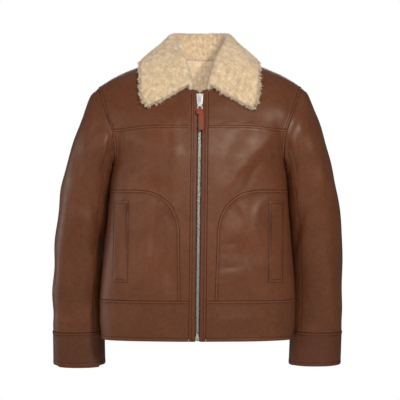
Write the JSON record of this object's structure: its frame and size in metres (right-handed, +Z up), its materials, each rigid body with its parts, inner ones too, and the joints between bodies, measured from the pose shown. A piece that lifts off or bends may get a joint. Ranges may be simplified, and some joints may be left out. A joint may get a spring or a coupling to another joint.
{
  "type": "leather jacket",
  "caption": "Hip-length zip-front leather jacket with folded shearling collar, chest yoke, curved pocket panels, welt pockets, hem band and cuffs, filled out as worn.",
  "frame": {"origin": "middle of the neck, level with the inner ends of the shoulder seams, where the wearer's shoulders hold the jacket up", "axes": "+Z up along the zip, +X to the wearer's left, -Y out of the front"},
  "size_m": [0.6695, 0.2687, 0.7772],
  "materials": {
    "leather": "brown nappa leather, satin, fine grain",
    "shearling": "cream curly shearling wool, matt",
    "zip_metal": "polished nickel",
    "zip_tape": "brown woven tape",
    "tan_leather": "tan vegetable leather, satin"
  },
  "bodies": {
    "jacket": {"collar": "shearling", "neck_lining": "shearling", "back": "leather", "hem_band_back": "leather", "zip_teeth": "zip_metal", "zip_box": "zip_metal", "zip_slider": "zip_metal", "yoke_right": "leather", "yoke_left": "leather", "front_right": "leather", "front_left": "leather", "pocket_panel_right": "leather", "pocket_panel_left": "leather", "pocket_welt_right": "leather", "pocket_welt_left": "leather", "placket_right": "leather", "placket_left": "leather", "hem_band_front_right": "leather", "hem_band_front_left": "leather", "sleeve_top_right": "leather", "sleeve_top_left": "leather", "sleeve_under_right": "leather", "sleeve_under_left": "leather", "cuff_right": "leather", "cuff_left": "leather", "zip_tape_right": "zip_tape", "zip_tape_left": "zip_tape"},
    "pull": {"zip_pull": "zip_metal", "pull_tab": "tan_leather"}
  },
  "joints": [
    {"name": "pull_hinge", "type": "hinge", "parent": "jacket", "child": "pull", "pos_m": [-0.00106, -0.1002, -0.098], "axis": [-1, 0, 0], "range_deg": [0, 120]}
  ]
}
